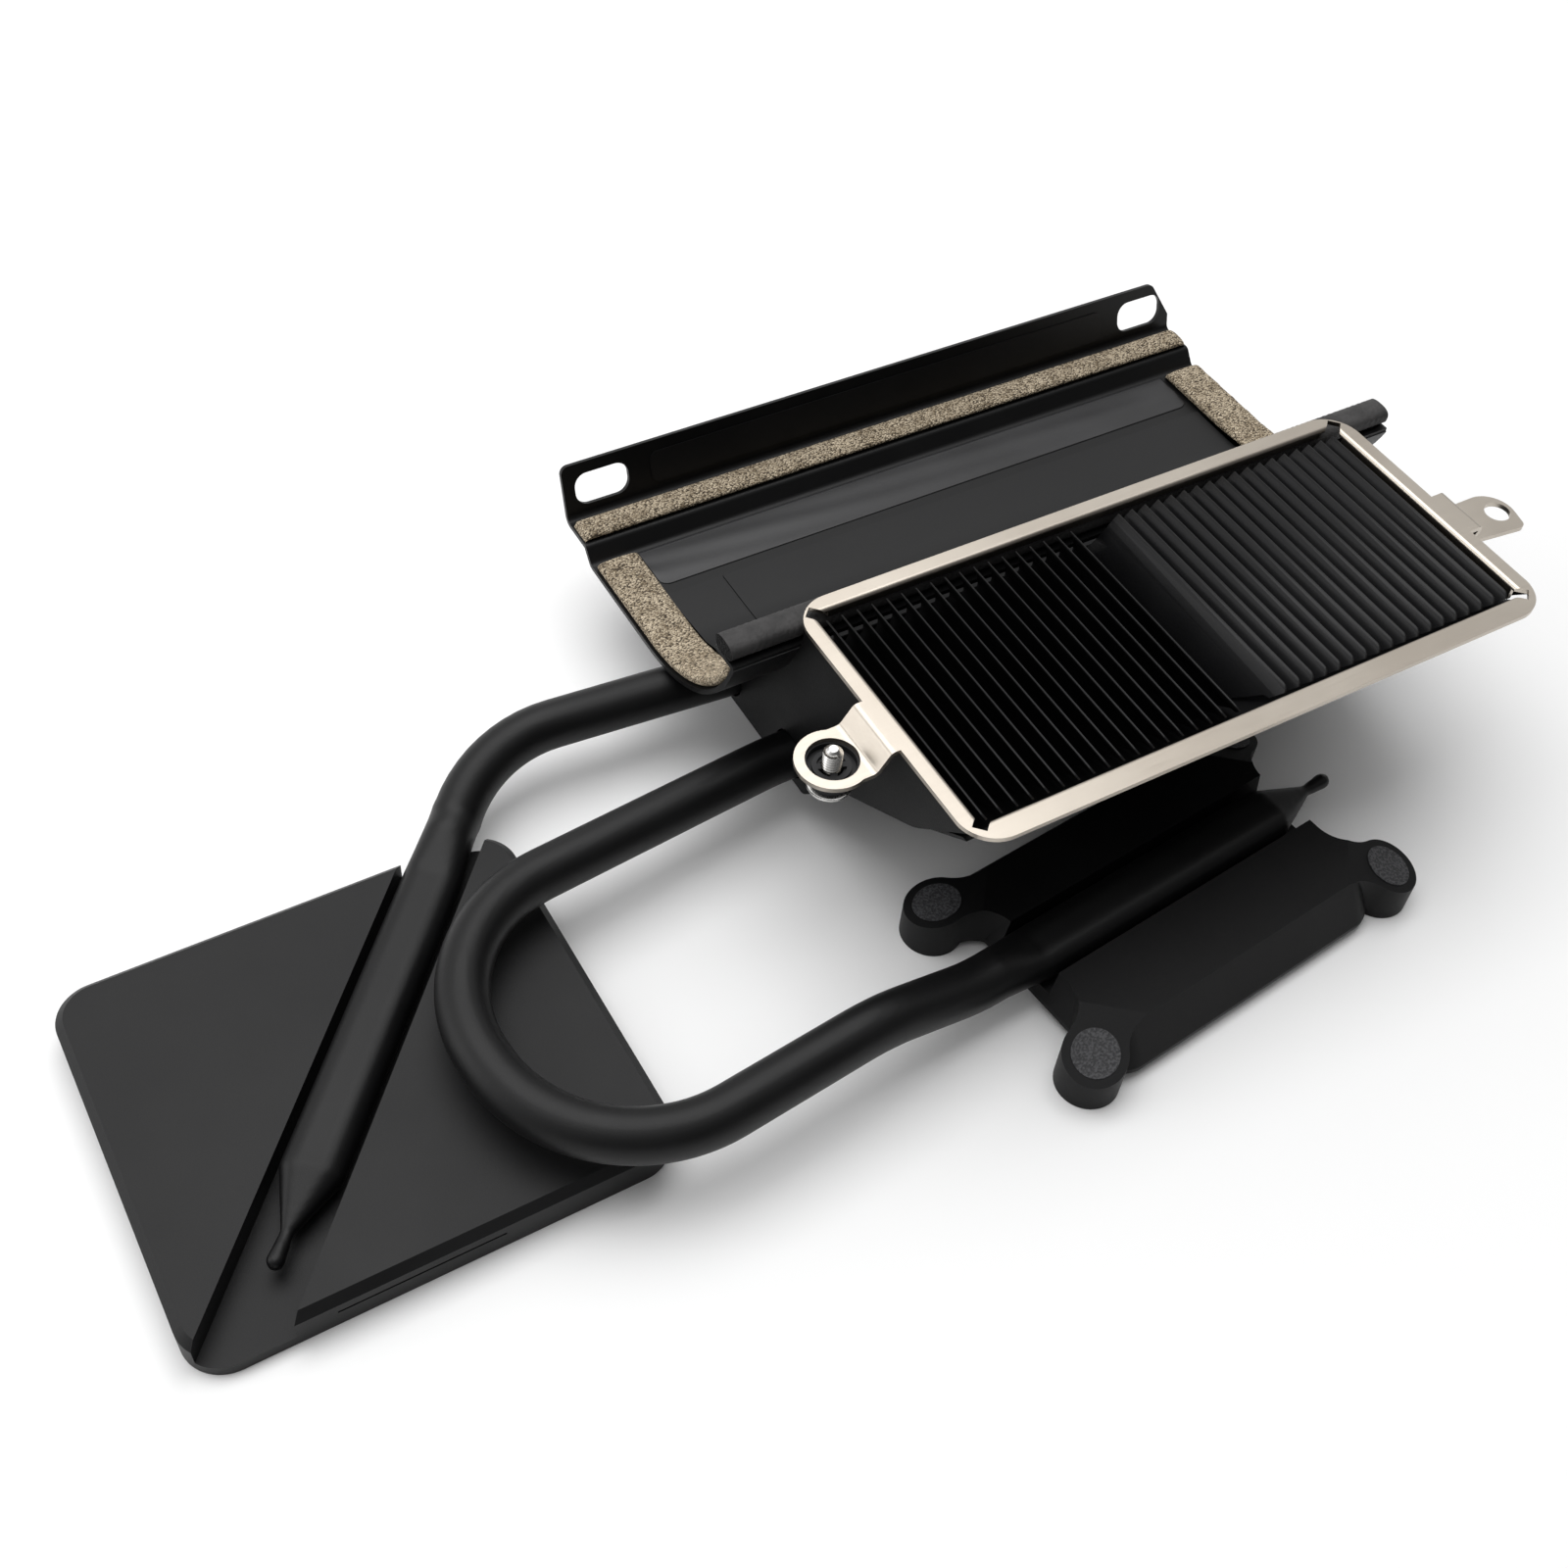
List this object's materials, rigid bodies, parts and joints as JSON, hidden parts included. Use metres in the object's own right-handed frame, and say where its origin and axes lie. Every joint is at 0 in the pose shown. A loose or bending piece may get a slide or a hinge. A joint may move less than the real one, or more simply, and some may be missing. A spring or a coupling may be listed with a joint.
{
  "type": "computer heatsink",
  "caption": "Laptop heatsink: two cold plates joined by bent heat pipes to a leaning fin stack under a sheet frame, with a foam-edged inlet scoop behind it.",
  "frame": {"origin": "middle of the first cold plate's contact face", "axes": "+X along the fin stack, +Y towards the air inlet, +Z away from the contact face"},
  "size_m": [0.239, 0.1336, 0.0407],
  "materials": {
    "black_block": "matte black coating on machined and cast aluminium",
    "black_pipe": "satin black coating",
    "black_sheet": "satin black sheet",
    "fin_metal": "dark coated fin",
    "bright_sheet": "warm plated sheet",
    "screw_steel": "bright plated steel",
    "insert_metal": "blackened steel",
    "soft_rubber": "soft black",
    "clip_plastic": "black",
    "black_foam": "black foam with a closed skin",
    "tan_foam": "tan woven cover over foam",
    "black_film": "thin matte film",
    "black_tape": "smooth tape"
  },
  "bodies": {
    "root": {"cpu_cold_plate": "black_block", "cpu_heat_pipe": "black_pipe", "gpu_cold_plate": "black_block", "gpu_heat_pipe": "black_pipe", "gpu_threaded_inserts": "insert_metal", "left_end_plate": "black_sheet", "right_end_plate": "black_sheet", "lower_shroud": "black_sheet", "fin_base": "black_sheet", "exhaust_frame": "bright_sheet", "frame_right_tab": "bright_sheet", "captive_screw": "screw_steel", "screw_grommet": "soft_rubber", "screw_clip": "clip_plastic", "inlet_scoop": "black_sheet", "lip_foam": "black_foam", "left_foam": "tan_foam", "right_foam": "tan_foam", "back_foam": "tan_foam", "floor_film": "black_film", "floor_tape": "black_tape", "flange_film": "black_film", "fin_01": "fin_metal", "fin_02": "fin_metal", "fin_03": "fin_metal", "fin_04": "fin_metal", "fin_05": "fin_metal", "fin_06": "fin_metal", "fin_07": "fin_metal", "fin_08": "fin_metal", "fin_09": "fin_metal", "fin_10": "fin_metal", "fin_11": "fin_metal", "fin_12": "fin_metal", "fin_13": "fin_metal", "fin_14": "fin_metal", "fin_15": "fin_metal", "fin_16": "fin_metal", "fin_17": "fin_metal", "fin_18": "fin_metal", "fin_19": "fin_metal", "fin_20": "fin_metal", "fin_21": "fin_metal", "fin_22": "fin_metal", "fin_23": "fin_metal", "fin_24": "fin_metal", "fin_25": "fin_metal", "fin_26": "fin_metal", "fin_27": "fin_metal", "fin_28": "fin_metal", "fin_29": "fin_metal", "fin_30": "fin_metal", "fin_31": "fin_metal", "fin_32": "fin_metal", "fin_33": "fin_metal", "fin_34": "fin_metal", "fin_35": "fin_metal", "fin_36": "fin_metal"}
  },
  "joints": []
}
